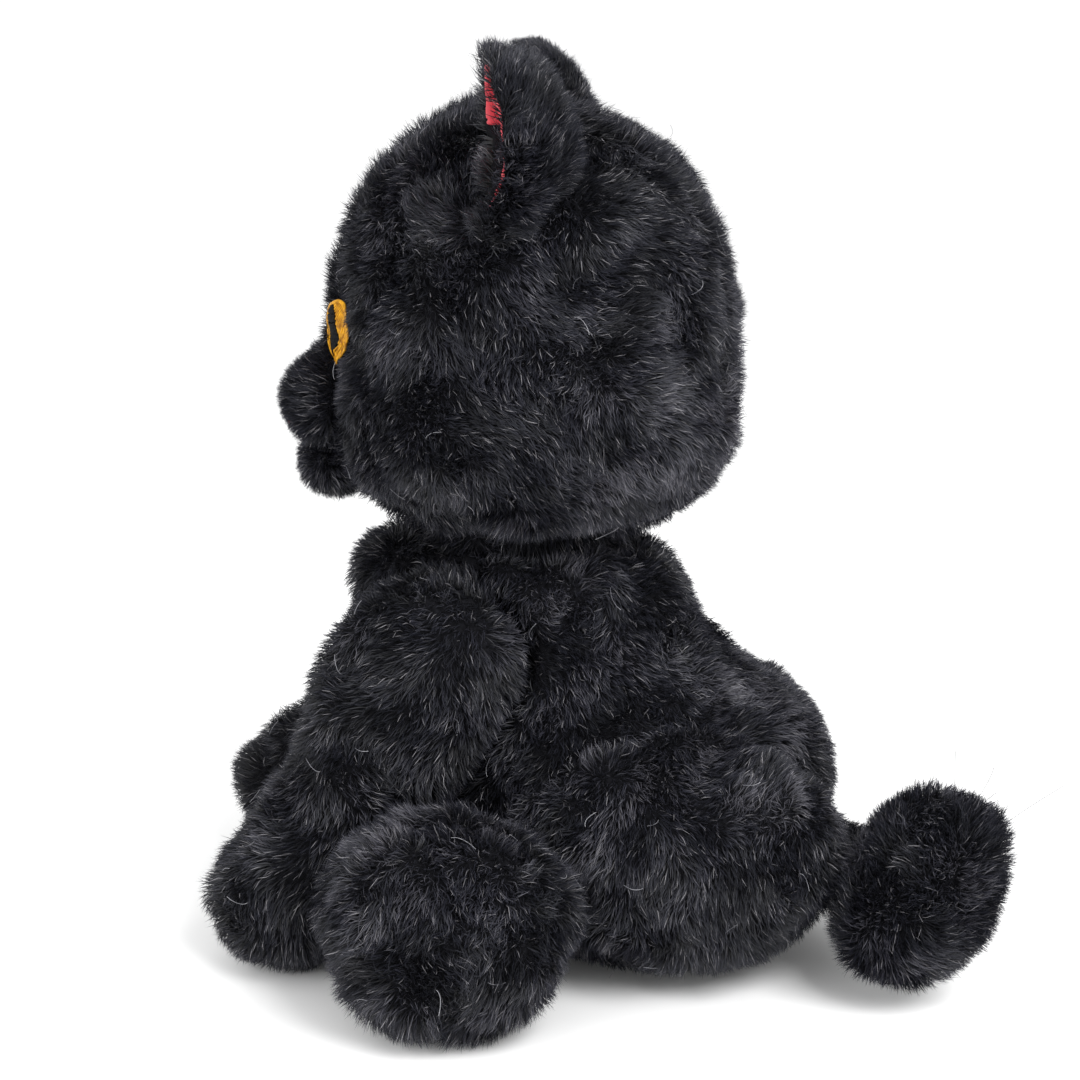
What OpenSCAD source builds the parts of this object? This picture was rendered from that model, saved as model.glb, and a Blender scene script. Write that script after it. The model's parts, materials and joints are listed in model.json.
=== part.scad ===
// Seated plush cat, sewn from pile fabric and stuffed with fibrefill.
// Millimetres. +X is the cat's left, -Y its front, +Z up; it rests on z = 0.

/* [Fabric] */
// Thickness of the pile fabric, pressed flat
pile_t = 3; // [2:0.5:5]
// Thickness of the satin ear lining
satin_t = 1.2; // [0.6:0.2:2]
// Height an embroidered patch stands above the fabric
thread_t = 1.1; // [0.6:0.1:2]

/* [Head] */
// Centre of the skull, along y and z
skull_at = [-20, 172]; // [-60:1:220]
// Half sizes of the skull along x, y and z
skull_r = [57, 52, 52]; // [40:1:70]
// Centre of the cheeks and nape, along y and z
cheek_at = [-21, 143]; // [-60:1:220]
// Half sizes of the cheeks and nape
cheek_r = [54, 51, 28]; // [20:1:70]
// Width of the gusset that runs from the brow over the crown to the nape
gusset_w = 34; // [20:1:50]
// Centre of the neck, where the head turns and nods, along y and z
neck_at = [-24, 114]; // [-60:1:140]
// Radius of the packed neck
neck_r = 22; // [16:1:28]

/* [Face] */
// Centre of the left whisker pad
muzzle_at = [9, -72, 149]; // [-90:1:170]
// Radius of a whisker pad
muzzle_r = 12; // [6:0.5:20]
// Centre of the chin
chin_at = [0, -71, 131]; // [-90:1:170]
// Radius of the chin
chin_r = 9.5; // [5:0.5:20]
// Angle of an eye from straight ahead
eye_azimuth = 30; // [20:1:45]
// Height of the eyes
eye_z = 170; // [150:1:190]
// Width and height of an eye
eye_size = [17, 16]; // [8:1:24]
// Width and height of a pupil
pupil_size = [5.5, 12]; // [3:0.5:16]
// Width and height of the nose
nose_size = [13, 9]; // [6:1:18]

/* [Ears] */
// Middle of the left ear's cup, on the plane of its rim
ear_at = [45, -24, 214]; // [-60:1:260]
// Way the tip of the left ear points
ear_up = [0.12, -0.05, 0.99]; // [-1:0.01:1]
// Way the back of the left ear faces
ear_back = [-0.15, 0.98, 0.07]; // [-1:0.01:1]
// Half width, depth and half height of an ear's cup
ear_cup = [18, 17, 33]; // [8:1:40]
// Middle of the left ear's seam, on the head
ear_seam_at = [43.5, -19, 205]; // [-60:0.5:240]
// Direction of the left ear's seam, outwards and down
ear_seam_along = [0.7, -0.05, -0.71]; // [-1:0.01:1]
// Length of the rolled seam at an ear's base
ear_roll_l = 20; // [10:1:30]
// Radius of the rolled seam at an ear's base
ear_roll_r = 3; // [2:0.5:5]

/* [Torso] */
// Centre of the chest, along y and z
chest_at = [-26, 90]; // [-60:1:120]
// Half sizes of the chest
chest_r = [36, 36, 27]; // [20:1:60]
// Centre of the belly, along y and z
belly_at = [0, 46]; // [-60:1:120]
// Half sizes of the belly
belly_r = [46, 57, 38]; // [20:1:70]
// Centre of the seat, along y and z
seat_at = [3, 30]; // [-60:1:120]
// Half sizes of the seat
seat_r = [44, 54, 42]; // [20:1:70]
// Height of the collar, where the torso meets the head
collar_z = 112; // [100:1:116]
// Height of the pellet pouch, on the seat
pouch_h = 14; // [8:1:30]
// Room between the pellet pouch and the side panels
pouch_slack = 2; // [0.5:0.5:8]

/* [Front legs] */
// Centre of the left shoulder
shoulder_at = [33, -42, 85]; // [-100:1:120]
// Radius of a shoulder
shoulder_r = 22.5; // [15:0.5:30]
// Centre of the left wrist
wrist_at = [35, -64, 45]; // [-100:1:120]
// Radius of a wrist
wrist_r = 19.5; // [12:0.5:26]
// Centre of the left paw
paw_at = [37, -83, 20]; // [-100:1:120]
// Radius of a paw
paw_r = 19.5; // [12:0.5:26]
// How much further forward the right leg reaches
right_reach = 6; // [0:1:10]
// Furthest a front leg swings forward
leg_swing = 40; // [0:5:60]

/* [Hind legs] */
// Centre of the left haunch
haunch_at = [38, 18, 36]; // [-100:1:120]
// Half sizes of a haunch
haunch_r = [26, 45, 32]; // [15:1:60]
// Centre of the left hind foot
foot_at = [72, -36, 28]; // [-100:1:120]
// Half sizes of a hind foot
foot_r = [24, 31, 28]; // [15:1:40]
// Centre of the left ankle
ankle_at = [56, -15, 28]; // [-100:1:120]
// Radius of an ankle
ankle_r = 12; // [8:1:18]
// Furthest a hind foot swings inwards and outwards
foot_swing = [-4, 16]; // [-20:1:30]

/* [Tail] */
// Centre of the tail's root
tail_root_at = [4, 56, 22]; // [-100:1:120]
// Radius of the tail's root
tail_root_r = 12; // [8:0.5:16]
// Centre of the bend between the tail's root and its end
tail_bend_at = [25, 71, 24]; // [-100:1:120]
// Radius of the tail at the bend
tail_bend_r = 11; // [8:0.5:16]
// Centre of the tail's plump end
tail_end_at = [47, 84, 25]; // [-100:1:120]
// Half sizes of the tail's plump end
tail_end_r = [18, 20, 25]; // [10:1:35]
// Lean of the tail's end, away from the body
tail_lean = 22; // [0:1:45]

/* [Hidden] */
$fn = 48;
// Facets round a lofted form
loft_fn = 22;
// Larger than the whole cat
huge = 600;
// Gap between two pieces sewn together
seam_gap = 0.2;
// Gap between pieces that move on each other, where both are round about the joint
turn_gap = 0.4;
// Gap left for a limb along its swing, between the poses it is cut at
swing_gap = 0.9;
// Further room left in the torso's stuffing for the neck and the front legs
fill_gap = 1;
// How far outwards the front legs' room in the stuffing runs
fill_out = 30;
// Facets round the neck's room in the stuffing
fill_fn = 18;
// Gap between the ears and the head, for the fold
ear_lift = 4.5;
// Gap between the eyes and the skull, which the cheeks fill
eye_gap = 0.9;

black_pile = [0.04, 0.04, 0.05];
shaded_pile = [0.07, 0.07, 0.09];
white_fill = [0.9, 0.9, 0.88];
red_satin = [0.62, 0.08, 0.12];
gold_thread = [0.82, 0.56, 0.1];

neck_c = [0, neck_at[0], neck_at[1]];

// General helpers

module ellipsoid(r) {
    scale(r) sphere(r = 1);
}

module at_yz(p) {
    translate([0, p[0], p[1]]) children();
}

module mirrored(side) {
    if (side == "right") mirror([1, 0, 0]) children();
    else children();
}

// Turns children about a line through a point
module turned(angle, axis, pivot) {
    translate(pivot) rotate(a = angle, v = axis) translate(-pivot) children();
}

// Everything above the floor
module above_floor() {
    intersection() {
        children();
        translate([-huge / 2, -huge / 2, 0]) cube(huge);
    }
}

// Forms, each drawn larger by g all over

module head_form(g = 0) {
    hull() {
        at_yz(skull_at) scale([for (r = skull_r) r + g]) sphere(r = 1, $fn = loft_fn);
        at_yz(cheek_at) scale([for (r = cheek_r) r + g]) sphere(r = 1, $fn = loft_fn);
    }
}

module torso_form(g = 0) {
    hull() {
        at_yz(chest_at) scale([for (r = chest_r) r + g]) sphere(r = 1, $fn = loft_fn);
        at_yz(belly_at) scale([for (r = belly_r) r + g]) sphere(r = 1, $fn = loft_fn);
        at_yz(seat_at) scale([for (r = seat_r) r + g]) sphere(r = 1, $fn = loft_fn);
    }
}

module muzzle_form(g = 0) {
    hull()
        for (s = [-1, 1])
            translate([s * muzzle_at.x, muzzle_at.y, muzzle_at.z]) sphere(r = muzzle_r + g, $fn = loft_fn);
}

module chin_form(g = 0) {
    translate(chin_at) sphere(r = chin_r + g);
}

// Wrist and paw of one side; the right leg reaches further forward
function wrist(side) = wrist_at - [0, side == "right" ? right_reach / 2 : 0, 0];
function paw(side) = paw_at - [0, side == "right" ? right_reach : 0, 0];

module upper_leg_form(side, g = 0) {
    hull() {
        translate(shoulder_at) sphere(r = shoulder_r + g, $fn = loft_fn);
        translate(wrist(side)) sphere(r = wrist_r + g, $fn = loft_fn);
    }
}

module leg_form(side, g = 0) {
    upper_leg_form(side, g);
    hull() {
        translate(wrist(side)) sphere(r = wrist_r + g, $fn = loft_fn);
        translate(paw(side)) sphere(r = paw_r + g, $fn = loft_fn);
    }
}

module haunch_form(g = 0) {
    hull() translate(haunch_at) scale([for (r = haunch_r) r + g]) sphere(r = 1, $fn = loft_fn);
}

module foot_form(g = 0) {
    hull() {
        translate(foot_at) scale([for (r = foot_r) r + g]) sphere(r = 1, $fn = loft_fn);
        translate(ankle_at) sphere(r = ankle_r + g, $fn = loft_fn);
    }
}

module tail_root_form(g = 0) {
    hull() {
        translate(tail_root_at) sphere(r = tail_root_r + g, $fn = loft_fn);
        translate(tail_bend_at) sphere(r = tail_bend_r + g, $fn = loft_fn);
    }
}

module tail_end_form(g = 0) {
    translate(tail_end_at) rotate([-tail_lean, 0, 0]) ellipsoid([for (r = tail_end_r) r + g]);
}

// Room for pieces that move

module neck_room() {
    translate(neck_c) sphere(r = neck_r + turn_gap);
}

module leg_room(side) {
    mirrored(side)
        hull()
            for (a = [0, leg_swing / 2, leg_swing])
                turned(-a, [1, 0, 0], shoulder_at) upper_leg_form(side, swing_gap);
}

module foot_room() {
    hull()
        for (a = [foot_swing[0], foot_swing[1]])
            turned(a, [0, 0, 1], ankle_at) foot_form(swing_gap);
}

module torso_room() {
    neck_room();
    leg_room("left");
    leg_room("right");
    tail_root_form(swing_gap);
    at_yz([-huge / 2, collar_z]) translate([-huge / 2, 0, 0]) cube(huge);
}

// Torso

module torso_panel(side) {
    color(black_pile) mirrored(side)
        difference() {
            torso_form();
            torso_form(-pile_t);
            mirrored(side) torso_room();
            translate([seam_gap / 2 - huge, -huge / 2, -huge / 2]) cube(huge);
            translate([-huge / 2, -huge / 2, pile_t + seam_gap - huge]) cube(huge);
        }
}

module seat_panel() {
    color(shaded_pile)
        intersection() {
            torso_form(-0.05);
            translate([-huge / 2, -huge / 2, 0]) cube([huge, huge, pile_t]);
        }
}

module pellet_pouch() {
    color(shaded_pile)
        difference() {
            torso_form(-pile_t - pouch_slack);
            translate([-huge / 2, -huge / 2, pile_t + seam_gap - huge]) cube(huge);
            translate([-huge / 2, -huge / 2, pile_t + seam_gap + pouch_h]) cube(huge);
            tail_root_form(swing_gap);
        }
}

module torso_stuffing() {
    color(white_fill)
        difference() {
            torso_form(-pile_t - seam_gap);
            at_yz([-huge / 2, collar_z - pile_t]) translate([-huge / 2, 0, 0]) cube(huge);
            translate(neck_c) sphere(r = neck_r + 2 * fill_gap, $fn = fill_fn);
            for (side = ["left", "right"])
                mirrored(side) hull()
                    for (a = [0, leg_swing])
                        turned(-a, [1, 0, 0], shoulder_at)
                            for (out = [0, fill_out]) translate([out, 0, 0]) upper_leg_form(side, swing_gap + fill_gap);
            tail_root_form(swing_gap);
            translate([-huge / 2, -huge / 2, pile_t + pouch_h + 2 * seam_gap - huge]) cube(huge);
        }
}

module neck_stuffing() {
    color(white_fill) translate(neck_c) sphere(r = neck_r);
}

// Head

module ear_roll_room(side) {
    mirrored(side) ear_roll(turn_gap);
}

module head_skin() {
    difference() {
        head_form();
        head_form(-pile_t);
        neck_room();
        ear_roll_room("left");
        ear_roll_room("right");
    }
}

module head_panel(side) {
    color(black_pile)
        intersection() {
            head_skin();
            mirrored(side) translate([gusset_w / 2 + seam_gap / 2, -huge / 2, 0]) cube(huge);
        }
}

module head_gusset() {
    color(shaded_pile)
        intersection() {
            head_skin();
            translate([-gusset_w / 2 + seam_gap / 2, -huge / 2, 0]) cube([gusset_w - seam_gap, huge, huge]);
        }
}

module head_stuffing() {
    color(white_fill)
        difference() {
            head_form(-pile_t - seam_gap);
            neck_room();
            ear_roll_room("left");
            ear_roll_room("right");
        }
}

module muzzle_panel() {
    color(black_pile)
        difference() {
            muzzle_form();
            muzzle_form(-pile_t);
            head_form(seam_gap);
            chin_form(seam_gap);
        }
}

module muzzle_stuffing() {
    color(white_fill)
        difference() {
            muzzle_form(-pile_t - seam_gap);
            head_form(seam_gap);
            chin_form(seam_gap);
        }
}

module chin_panel() {
    color(black_pile)
        difference() {
            chin_form();
            chin_form(-pile_t);
            head_form(seam_gap);
        }
}

module chin_stuffing() {
    color(white_fill)
        difference() {
            chin_form(-pile_t - seam_gap);
            head_form(seam_gap);
        }
}

// A flat outline pressed on to the front of the muzzle
module on_muzzle() {
    difference() {
        intersection() {
            muzzle_form(thread_t);
            translate([0, muzzle_at.y, 0]) rotate([90, 0, 0]) linear_extrude(huge) children();
        }
        muzzle_form(seam_gap);
        chin_form(seam_gap);
    }
}

module nose() {
    color(red_satin) on_muzzle()
        translate([0, muzzle_at.z + muzzle_r / 2])
            polygon([[-nose_size.x / 2, nose_size.y / 2], [nose_size.x / 2, nose_size.y / 2], [0, -nose_size.y / 2]]);
}

module mouth_stitch() {
    color(red_satin) on_muzzle()
        translate([-thread_t / 2, muzzle_at.z - muzzle_r * 0.5]) square([thread_t, muzzle_r * 0.5]);
}

// A flat oval pressed on to the skull, where an eye sits
module on_skull(size, side) {
    mirrored(side) at_yz(skull_at)
        difference() {
            intersection() {
                ellipsoid([for (r = skull_r) r + eye_gap + thread_t]);
                rotate([0, 0, eye_azimuth]) translate([0, 0, eye_z - skull_at[1]])
                    rotate([90, 0, 0]) linear_extrude(huge) scale(size) circle(d = 1);
            }
            ellipsoid([for (r = skull_r) r + eye_gap]);
        }
}

module eye(side) {
    color(gold_thread)
        difference() {
            on_skull(eye_size, side);
            mirrored(side) at_yz([skull_at[0], eye_z]) rotate([90, 0, eye_azimuth])
                linear_extrude(huge) scale([for (s = pupil_size) s + 2 * seam_gap]) circle(d = 1);
        }
}

module pupil(side) {
    color(black_pile) on_skull(pupil_size, side);
}

// Ears

// Places children with x, y and z along three directions
module in_frame(at, x, y, z) {
    multmatrix([
        [x.x, y.x, z.x, at.x],
        [x.y, y.y, z.y, at.y],
        [x.z, y.z, z.z, at.z],
        [0, 0, 0, 1]
    ]) children();
}

function unit(v) = v / norm(v);

// Places children in the ear's frame: y to the back of the ear, z to its tip
module at_ear() {
    z = unit(ear_up);
    x = unit(cross(ear_back, z));
    in_frame(ear_at, x, cross(z, x), z) children();
}

// The egg whose back half is the ear's cup, drawn larger by g
module ear_egg(g = 0) {
    at_ear() ellipsoid([for (r = ear_cup) r + g]);
}

// Everything behind the plane of the rim
module behind_rim() {
    difference() {
        children();
        at_ear() translate([-huge / 2, -huge, -huge / 2]) cube(huge);
    }
}

// Places children with x along the ear's seam and z out of the head
module at_ear_seam() {
    x = unit(ear_seam_along);
    y = unit(cross(ear_seam_at - neck_c, x));
    in_frame(ear_seam_at, x, y, cross(x, y)) children();
}

module ear_roll(g = 0) {
    at_ear_seam() translate([-ear_roll_l / 2 - g, 0, 0]) rotate([0, 90, 0])
        cylinder(h = ear_roll_l + 2 * g, r = ear_roll_r + g);
}

module ear_fur(side) {
    color(black_pile) mirrored(side) {
        behind_rim() difference() {
            ear_egg();
            difference() {
                ear_egg(-pile_t);
                head_form(ear_lift + pile_t);
            }
            head_form(ear_lift);
        }
        ear_roll();
        at_ear_seam() translate([-ear_roll_l / 2, -pile_t / 2, 0])
            cube([ear_roll_l, pile_t, ear_lift + pile_t / 2]);
    }
}

module ear_lining(side) {
    color(red_satin) mirrored(side)
        behind_rim() difference() {
            ear_egg(-pile_t - seam_gap);
            ear_egg(-pile_t - seam_gap - satin_t);
            head_form(ear_lift + pile_t + seam_gap);
        }
}

// Front legs

module front_leg(side) {
    color(black_pile) mirrored(side)
        above_floor() difference() {
            leg_form(side);
            leg_form(side, -pile_t);
        }
}

module front_leg_stuffing(side) {
    color(white_fill) mirrored(side) leg_form(side, -pile_t - seam_gap);
}

// Hind legs

module haunch(side) {
    color(black_pile) mirrored(side)
        difference() {
            haunch_form();
            haunch_form(-pile_t);
            torso_form(seam_gap);
            foot_room();
        }
}

module haunch_stuffing(side) {
    color(white_fill) mirrored(side)
        difference() {
            haunch_form(-pile_t - seam_gap);
            torso_form(seam_gap);
            foot_room();
        }
}

module hind_foot(side) {
    color(black_pile) mirrored(side)
        above_floor() difference() {
            foot_form();
            foot_form(-pile_t);
        }
}

module hind_foot_stuffing(side) {
    color(white_fill) mirrored(side) foot_form(-pile_t - seam_gap);
}

// Tail

module tail_root() {
    color(black_pile)
        difference() {
            tail_root_form();
            tail_root_form(-pile_t);
        }
}

module tail_root_stuffing() {
    color(white_fill) tail_root_form(-pile_t - seam_gap);
}

module tail_end() {
    color(black_pile)
        difference() {
            tail_end_form();
            tail_end_form(-pile_t);
            translate(tail_bend_at) sphere(r = tail_bend_r + turn_gap);
        }
}

module tail_end_stuffing() {
    color(white_fill)
        difference() {
            tail_end_form(-pile_t - seam_gap);
            translate(tail_bend_at) sphere(r = tail_bend_r + turn_gap);
        }
}

torso_panel("left");  // torso_left_panel
torso_panel("right");  // torso_right_panel
seat_panel();
torso_stuffing();
pellet_pouch();
neck_stuffing();
head_panel("left");  // head_left_panel
head_panel("right");  // head_right_panel
head_gusset();
head_stuffing();
muzzle_panel();
muzzle_stuffing();
chin_panel();
chin_stuffing();
nose();
mouth_stitch();
eye("left");  // eye_left
eye("right");  // eye_right
pupil("left");  // pupil_left
pupil("right");  // pupil_right
ear_fur("left");  // ear_left_back
ear_lining("left");  // ear_left_lining
ear_fur("right");  // ear_right_back
ear_lining("right");  // ear_right_lining
front_leg("left");  // front_leg_left
front_leg_stuffing("left");  // front_leg_left_stuffing
front_leg("right");  // front_leg_right
front_leg_stuffing("right");  // front_leg_right_stuffing
haunch("left");  // haunch_left
haunch_stuffing("left");  // haunch_left_stuffing
haunch("right");  // haunch_right
haunch_stuffing("right");  // haunch_right_stuffing
hind_foot("left");  // hind_foot_left
hind_foot_stuffing("left");  // hind_foot_left_stuffing
hind_foot("right");  // hind_foot_right
hind_foot_stuffing("right");  // hind_foot_right_stuffing
tail_root();
tail_root_stuffing();
tail_end();
tail_end_stuffing();
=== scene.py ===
"""Looks of a seated plush cat: pile fabric over fibrefill, stitched eyes, nose and mouth, satin-lined ears.

Metres. +X is the cat's left, -Y its front, +Z up; it sits on z = 0.
"""

import json
import math

import bmesh
import bpy
import numpy as np
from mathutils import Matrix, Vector
from mathutils.bvhtree import BVHTree


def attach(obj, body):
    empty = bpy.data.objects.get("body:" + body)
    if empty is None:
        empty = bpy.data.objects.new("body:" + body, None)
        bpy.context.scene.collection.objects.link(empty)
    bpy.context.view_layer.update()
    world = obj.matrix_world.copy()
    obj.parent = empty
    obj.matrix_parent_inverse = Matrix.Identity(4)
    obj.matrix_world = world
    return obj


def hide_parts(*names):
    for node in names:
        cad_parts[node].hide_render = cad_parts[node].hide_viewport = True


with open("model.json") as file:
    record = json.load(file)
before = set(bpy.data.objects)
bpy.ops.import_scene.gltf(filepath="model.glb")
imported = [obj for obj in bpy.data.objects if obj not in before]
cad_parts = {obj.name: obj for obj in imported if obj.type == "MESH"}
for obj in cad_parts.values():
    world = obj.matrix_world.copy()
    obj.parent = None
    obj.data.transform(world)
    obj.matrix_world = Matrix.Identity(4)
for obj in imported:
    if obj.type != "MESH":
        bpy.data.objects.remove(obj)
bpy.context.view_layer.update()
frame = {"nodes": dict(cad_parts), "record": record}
scene = bpy.context.scene
MM = 0.001

# ---------------------------------------------------------------- measures

NECK = np.array([0, -24, 114]) * MM
SKULL = np.array([0, -20, 172]) * MM
GUSSET_HALF = 17 * MM
EYE_TURN = math.radians(25.5)
EYE_Z = 167.5 * MM
EYE_HALF = np.array([8.2, 8]) * MM
EYE_SLANT = 0.38
PUPIL_HALF = np.array([3.0, 6.6]) * MM
PUPIL_IN = np.array([-2.3, 0]) * MM
MUZZLE = np.array([0, -72, 149]) * MM
UP = np.array([0.0, 0.0, 1.0])
FLOOR_CLEAR = 0.2 * MM
CLOTH_FRAMES = 20

# ---------------------------------------------------------------- shader nodes


class Shade:
    """One output of a material's nodes, which Python's own operators work on."""

    def __init__(self, tree, socket):
        self.tree, self.socket = tree, socket

    def make(self, kind, settings=None, sockets=None, out=0):
        """A node of any type: its settings first, then the values or links of its sockets."""
        node = self.tree.nodes.new(kind)
        for key, value in (settings or {}).items():
            if key == "stops":
                ramp = node.color_ramp
                while len(ramp.elements) < len(value):
                    ramp.elements.new(0.5)
                for element, (at, colour) in zip(ramp.elements, value):
                    element.position, element.color = at, (*colour, 1)
            else:
                setattr(node, key, value)
        for key, value in (sockets or {}).items():
            if isinstance(value, Shade):
                self.tree.links.new(value.socket, node.inputs[key])
            else:
                node.inputs[key].default_value = value
        return Shade(self.tree, node.outputs[out]) if node.outputs else node

    def maths(self, operation, *values):
        return self.make("ShaderNodeMath", {"operation": operation}, dict(enumerate(values)))

    def __add__(self, other):
        return self.maths("ADD", self, other)

    __radd__ = __add__

    def __mul__(self, other):
        return self.maths("MULTIPLY", self, other)

    __rmul__ = __mul__

    def ranged(self, low, high, to_low=0.0, to_high=1.0):
        return self.make("ShaderNodeMapRange", {"clamp": True}, {
            "Value": self, "From Min": low, "From Max": high, "To Min": to_low, "To Max": to_high})

    def mixed(self, first, second):
        """A colour from first to second, by this."""
        return self.make("ShaderNodeMix", {"data_type": "RGBA"}, {0: self, 6: first, 7: second}, 2)

    def part(self, axis):
        return self.make("ShaderNodeSeparateXYZ", None, {0: self}, axis)


def rgb(red, green, blue):
    return (red, green, blue, 1)


def finish_of(name, recipe):
    """A material whose recipe gives the Principled shader's sockets, and a bump height if it has one."""
    material = bpy.data.materials.new(name)
    material.use_nodes = True
    tree = material.node_tree
    tree.nodes.clear()
    start = Shade(tree, None)
    sockets = recipe(start)
    height = sockets.pop("height", None)
    if height is not None:
        depth = sockets.pop("depth", 0.3 * MM)
        sockets["Normal"] = start.make("ShaderNodeBump", None, {
            "Height": height, "Distance": depth, "Strength": 1.0})
    shader = start.make("ShaderNodeBsdfPrincipled", None, sockets)
    start.make("ShaderNodeOutputMaterial", None, {"Surface": shader})
    return material


def place(start):
    return start.make("ShaderNodeTexCoord", None, None, 3)


def cloud(start, scale, detail=2.0, roughness=0.5):
    return start.make("ShaderNodeTexNoise", None, {
        "Vector": place(start), "Scale": scale, "Detail": detail, "Roughness": roughness}, 0)


def pile_recipe(start):
    """A fibre: near black at the root, cooler and lighter at the tip.

    U is the fibre's lightness: its own tone, with painted highlight added where light falls; V runs from root
    to tip.
    """
    uv = start.make("ShaderNodeUVMap", {"uv_map": "pile_uv"})
    light, along = uv.part(0), uv.part(1)
    tip = light.make("ShaderNodeValToRGB", {"stops": [
        (0.0, (0.0042, 0.0048, 0.0088)), (0.45, (0.0125, 0.0138, 0.0240)),
        (0.75, (0.0340, 0.0345, 0.0500)), (0.93, (0.1250, 0.1220, 0.1450)),
        (1.0, (0.400, 0.385, 0.400))]}, {0: light})
    colour = along.ranged(0.1, 0.95).mixed(rgb(0.0016, 0.0017, 0.0024), tip)
    return {"Base Color": colour, "Roughness": light.ranged(0, 1, 0.62, 0.46), "Specular IOR Level": 0.42}


def backing_recipe(start):
    """The knitted ground that the pile stands on."""
    knit = cloud(start, 900, 1)
    colour = knit.ranged(0.3, 0.7).mixed(rgb(0.0025, 0.0026, 0.0034), rgb(0.0075, 0.0075, 0.0095))
    return {"Base Color": colour, "Roughness": knit.ranged(0.2, 0.8, 0.8, 0.95), "Specular IOR Level": 0.06,
            "height": knit, "depth": 0.2 * MM}


def weave(start, pitch):
    """Threads over and under, pitch apart."""
    at = place(start)
    turns = 2 * math.pi / pitch
    across = (at.part(0) * turns).maths("SINE", at.part(0) * turns + at.part(1) * turns)
    down = at.maths("SINE", at.part(2) * turns)
    return across * down * 0.5 + 0.5


def satin_recipe(start):
    """Shiny red lining: fine floats across the face, faint creases, with painted shade darkening the red in
    the creases and painted sheen lightening it on their ridges.
    """
    floats = weave(start, 0.45 * MM)
    crease_and_painted_shade = cloud(start, 120, 3)
    # Painted shade and sheen: the noise that sinks the creases also darkens the red in them and lightens it
    # where it rises.
    colour = crease_and_painted_shade.ranged(0.3, 0.7).mixed(rgb(0.46, 0.014, 0.030), rgb(0.74, 0.045, 0.070))
    return {"Base Color": colour, "Roughness": floats.ranged(0, 1, 0.30, 0.48), "Specular IOR Level": 0.6,
            "Sheen Weight": 0.15, "height": floats * 0.4 + crease_and_painted_shade, "depth": 0.12 * MM}


def thread_recipe(dark, bright, gloss=0.38):
    """Twisted embroidery thread: plies run slantwise round it, and strands differ a little."""
    def recipe(start):
        strand = cloud(start, 700, 1)
        ply = cloud(start, 2600, 0)
        colour = strand.ranged(0.3, 0.7).mixed(rgb(*dark), rgb(*bright))
        return {"Base Color": colour, "Roughness": ply.ranged(0.3, 0.7, gloss, gloss + 0.2),
                "Specular IOR Level": 0.12, "height": ply, "depth": 0.06 * MM}
    return recipe


def fill_recipe(start):
    """Crimped white polyester fibre."""
    strands = cloud(start, 420, 6, 0.7)
    colour = strands.ranged(0.3, 0.7).mixed(rgb(0.62, 0.61, 0.58), rgb(0.86, 0.86, 0.84))
    return {"Base Color": colour, "Roughness": strands.ranged(0, 1, 0.8, 0.95),
            "height": strands, "depth": 1.2 * MM}


def pouch_recipe(start):
    """Unbleached cotton, plainly woven."""
    threads = weave(start, 0.8 * MM)
    slub = cloud(start, 180, 3)
    colour = (threads * 0.4 + slub * 0.6).mixed(rgb(0.42, 0.36, 0.27), rgb(0.70, 0.63, 0.50))
    return {"Base Color": colour, "Roughness": slub.ranged(0, 1, 0.8, 0.95),
            "height": threads, "depth": 0.2 * MM}


def floor_recipe(start):
    grain = cloud(start, 60, 3)
    colour = grain.mixed(rgb(0.94, 0.94, 0.94), rgb(0.96, 0.96, 0.96))
    return {"Base Color": colour, "Roughness": grain.ranged(0, 1, 0.7, 0.8), "Specular IOR Level": 0.1}


def lint_recipe(start):
    tone = cloud(start, 200, 1)
    colour = tone.ranged(0.3, 0.7).mixed(rgb(0.10, 0.10, 0.12), rgb(0.42, 0.42, 0.45))
    return {"Base Color": colour, "Roughness": tone.ranged(0, 1, 0.4, 0.7)}


PILE = finish_of("black pile", pile_recipe)
BACKING = finish_of("knitted ground", backing_recipe)
SATIN = finish_of("red satin", satin_recipe)
GOLD = finish_of("gold thread", thread_recipe((0.24, 0.09, 0.003), (0.66, 0.33, 0.014)))
BLACK = finish_of("black thread", thread_recipe((0.0008, 0.0008, 0.001), (0.002, 0.002, 0.003), 0.7))
RED = finish_of("dusty red thread", thread_recipe((0.20, 0.030, 0.035), (0.34, 0.070, 0.075)))
FILL = finish_of("fibrefill", fill_recipe)
CALICO = finish_of("cotton pouch", pouch_recipe)
LINT = finish_of("lint", lint_recipe)
PALE = finish_of("pale floor", floor_recipe)

# ---------------------------------------------------------------- meshes


def link(name, mesh, material):
    obj = bpy.data.objects.new(name, mesh)
    scene.collection.objects.link(obj)
    mesh.materials.clear()
    mesh.materials.append(material)
    return obj


def settle(obj):
    """The mesh as its modifiers leave it, with no modifiers left."""
    bpy.context.view_layer.update()
    shown = obj.evaluated_get(bpy.context.evaluated_depsgraph_get())
    mesh = bpy.data.meshes.new_from_object(shown)
    obj.modifiers.clear()
    obj.data = mesh
    return obj


def points(obj):
    co = np.zeros(len(obj.data.vertices) * 3, np.float32)
    obj.data.vertices.foreach_get("co", co)
    return co.reshape(-1, 3).astype(float)


def normals(obj):
    out = np.zeros(len(obj.data.vertices) * 3, np.float32)
    obj.data.vertices.foreach_get("normal", out)
    return out.reshape(-1, 3).astype(float)


def put(obj, co):
    obj.data.vertices.foreach_set("co", co.astype(np.float32).ravel())
    obj.data.update()


def waves(co, size, seed, count=9):
    """Smooth lumps about size across, from about -1 to 1."""
    rng = np.random.default_rng(seed)
    way = rng.normal(size=(count, 3))
    way *= (2 * math.pi / size) * rng.uniform(0.6, 1.5, (count, 1)) / np.linalg.norm(way, axis=1)[:, None]
    heights = np.sin(co @ way.T + rng.uniform(0, 2 * math.pi, count)).sum(1)
    return np.clip(heights / math.sqrt(count), -1.5, 1.5)


def unit(v):
    return v / np.maximum(np.linalg.norm(v, axis=-1, keepdims=True), 1e-9)


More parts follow.
